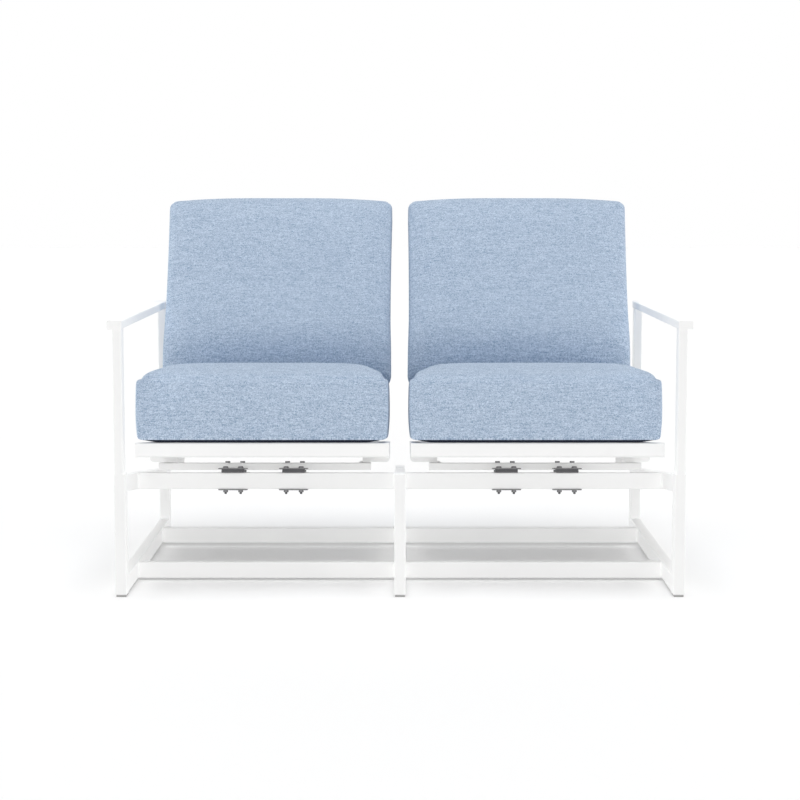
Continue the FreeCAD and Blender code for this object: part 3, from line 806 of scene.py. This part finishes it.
def weld_beads():
    """Beads in the corners where the cross rails meet the side and centre frames."""
    points, faces = [], []
    for side in SIDES:
        for rail in (f"{side}_low_front_rail", f"{side}_low_rear_rail", f"{side}_spring_rail"):
            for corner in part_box(rail):
                for face in (-TUBE_WIDE / 2, TUBE_WIDE / 2):
                    place = rail_end(rail, corner[0]) @ Matrix.Translation((0, face, 0))
                    turned(points, faces, place, weld_profile(), WELD_SIDES)
    piece("weld_beads", mesh_of("weld_beads", points, faces), coat, "base")


weld_beads()


# Plugs in open tube ends

PLUG_TALL, PLUG_SUNK, PLUG_DOME = 2.4 * MM, 1.6 * MM, 0.6 * MM
PLUG_ROOM, PLUG_EDGE = 0.4 * MM, 1.1 * MM


def plug(name, place, wide, deep, body):
    """A low domed cap that closes a tube's end, square to the z of its place."""
    half = np.array((wide / 2 - PLUG_ROOM, deep / 2 - PLUG_ROOM, PLUG_TALL / 2))
    unit, faces = block_grid((14, 18, 3))
    points = rounded(unit, half, PLUG_EDGE)
    points[:, 2] += PLUG_DOME * (unit[:, 2] > 0.9) * (1 - unit[:, 0] ** 2) * (1 - unit[:, 1] ** 2)
    points[:, 2] += PLUG_TALL / 2 - PLUG_SUNK
    mesh = mesh_of(name, points, faces)
    mesh.transform(place)
    piece(name, mesh, coat, body)


def leg_plugs():
    for leg in ("centre_front_leg", "centre_rear_leg"):
        low, high = (Vector(corner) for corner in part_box(leg))
        top = Matrix.Translation(((low.x + high.x) / 2, (low.y + high.y) / 2, high.z))
        plug(f"{leg}_plug", top, high.x - low.x, high.y - low.y, "base")


leg_plugs()


# Floor, light and camera

WHITE = (1.0, 1.0, 1.0, 1.0)
# The floor is paler to the eye than it is to the light that it throws up
FLOOR_SEEN, FLOOR_BOUNCE = (0.97, 0.97, 0.97, 1.0), (0.62, 0.62, 0.62, 1.0)
FLOOR_REACH, FLOOR_DROP = 30.0, 0.2 * MM
EYE_LENS, EYE_SENSOR = 85.0, 36.0
EYE_DISTANCE, EYE_HEIGHT, EYE_PITCH = 4.1423, 0.8826, 6.074


def floor():
    far = FLOOR_REACH
    corners = [(-far, -far, 0), (far, -far, 0), (far, far, 0), (-far, far, 0)]
    ground = bpy.data.objects.new("floor", mesh_of("floor", corners, [(0, 1, 2, 3)]))
    ground.location.z = -FLOOR_DROP
    scene.collection.objects.link(ground)
    paint = Finish("studio_floor", **{"Roughness": 1.0, "Specular IOR Level": 0.0})
    paint.vary(base_color=paint.colour(paint.seen(), FLOOR_BOUNCE, FLOOR_SEEN))
    ground.data.materials.append(paint.material)


def studio(strength):
    """Even light from all round, with plain white behind the object."""
    scene.world = bpy.data.worlds.new("studio")
    light = Nodes(scene.world)
    level = strength + (1 - strength) * light.seen()
    glow = light.node("ShaderNodeBackground", {}, {"Color": WHITE, "Strength": level})
    light.node("ShaderNodeOutputWorld", {}, {"Surface": glow.outputs[0]})


def soft_lamp(name, towards, strength, spread, blockers=None):
    """A broad lamp from one side. Where blockers are given, only these cast its shadow."""
    data = bpy.data.lights.new(name, "SUN")
    data.energy = math.pi * strength
    data.angle = math.radians(spread)
    lamp = bpy.data.objects.new(name, data)
    lamp.rotation_euler = Vector(towards).to_track_quat("-Z", "Y").to_euler()
    lamp.light_linking.blocker_collection = blockers
    scene.collection.objects.link(lamp)


def cushion_covers():
    covers = bpy.data.collections.new("cushion_covers")
    for side in SIDES:
        for cover in ("seat_cushion_cover", "back_cushion_cover"):
            covers.objects.link(bpy.data.objects[f"{side}_{cover}"])
    return covers


def camera():
    data = bpy.data.cameras.new("camera")
    data.lens = EYE_LENS
    data.sensor_width = EYE_SENSOR
    eye = bpy.data.objects.new("camera", data)
    eye.location = (0, FRONT - EYE_DISTANCE, EYE_HEIGHT)
    eye.rotation_euler = (math.radians(90 - EYE_PITCH), 0, 0)
    scene.collection.objects.link(eye)
    scene.camera = eye


covers = cushion_covers()
floor()
studio(strength=0.28)
soft_lamp("overhead", towards=(0, 0, -1), strength=0.57, spread=60)
soft_lamp("front_key", towards=(0, 1, -0.25), strength=0.08, spread=50)
soft_lamp("front_fill", towards=(0, 1, 0.12), strength=0.28, spread=60, blockers=covers)
soft_lamp("left_fill", towards=(1, 0.2, 0), strength=0.52, spread=60, blockers=covers)
soft_lamp("right_fill", towards=(-1, 0.2, 0), strength=0.52, spread=60, blockers=covers)
soft_lamp("rear_fill", towards=(0, -1, 0), strength=0.3, spread=60, blockers=covers)
camera()
scene.view_settings.view_transform = "Standard"
